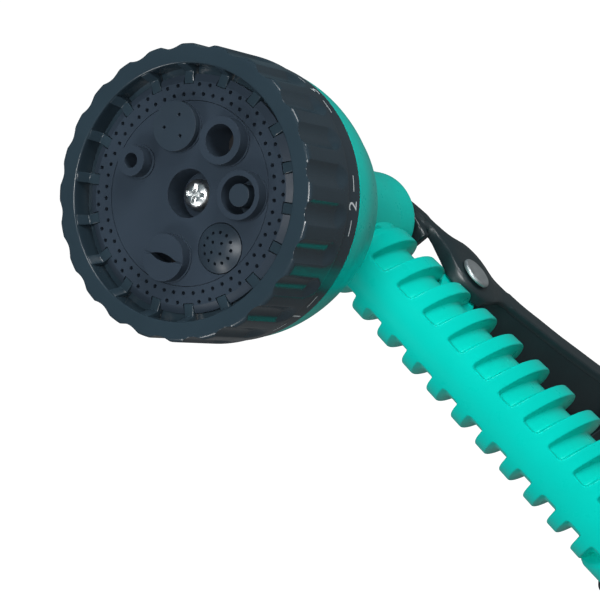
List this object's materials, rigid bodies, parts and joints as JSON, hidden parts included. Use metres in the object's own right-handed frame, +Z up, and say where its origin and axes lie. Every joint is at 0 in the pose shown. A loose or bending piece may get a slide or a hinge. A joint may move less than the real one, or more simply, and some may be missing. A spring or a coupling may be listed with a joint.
{
  "type": "hose spray nozzle",
  "caption": "Hand-held garden hose nozzle with a turnable spray dial, a ribbed teal grip and a rear squeeze lever.",
  "frame": {"origin": "centre of the hose inlet's mouth, at the grip's lower end", "axes": "+Z up along the grip, -Y to the front where the water leaves, +X to the nozzle's left as its user holds it, -Z out of the hose inlet"},
  "size_m": [0.07, 0.1419, 0.2081],
  "materials": {
    "dial_plastic": "satin",
    "disc_plastic": "matte",
    "rose_plastic": "satin",
    "chrome_screw": "polished",
    "steel": "satin",
    "inner_plastic": "matte",
    "rubber": "matte",
    "brass": "satin",
    "teal_plastic": "gloss",
    "lever_plastic": "satin",
    "pin_steel": "satin",
    "collar_plastic": "satin"
  },
  "bodies": {
    "body": {"handle": "teal_plastic", "head_cup": "teal_plastic", "valve_plate": "inner_plastic", "plate_oring": "rubber", "screw_insert": "brass", "dial_screw": "chrome_screw", "dial_washer": "steel", "port_seal": "rubber", "port_spring": "steel", "detent_ball": "steel", "detent_spring": "steel", "valve_seat": "brass", "valve_spring": "steel", "gland_nut": "inner_plastic", "stem_oring": "rubber", "pivot_pin": "pin_steel", "pin_cap": "pin_steel", "inlet_collar": "collar_plastic", "hose_washer": "rubber", "filter_screen": "steel"},
    "dial": {"bezel_ring": "dial_plastic", "shower_plate": "disc_plastic", "nozzle_disc": "disc_plastic", "soft_rose": "rose_plastic", "cone_core": "rose_plastic", "mist_rose": "rose_plastic", "distributor": "inner_plastic", "dial_gasket": "rubber"},
    "stem": {"valve_stem": "steel", "valve_washer": "rubber", "washer_nut": "brass", "stem_knob": "brass"},
    "lever": {"lever": "lever_plastic"}
  },
  "joints": [
    {"name": "dial_turn", "type": "hinge", "parent": "body", "child": "dial", "pos_m": [0, -0.0086, 0.145], "axis": [0, -0.866, 0.5], "continuous": true},
    {"name": "lever_squeeze", "type": "hinge", "parent": "body", "child": "lever", "pos_m": [0, 0.0137, 0.1016], "axis": [-1, 0, 0], "range_deg": [0, 12], "stiffness_Nm_per_rad": 0.6, "springref_deg": -11.46},
    {"name": "stem_slide", "type": "slide", "parent": "body", "child": "stem", "axis": [0, 0.866, -0.5], "range_m": [0, 0.0055], "deforming": ["valve_spring"]}
  ],
  "couplings": [
    {"joint": "stem_slide", "follows": "lever_squeeze", "m_per_rad": 0.026}
  ]
}
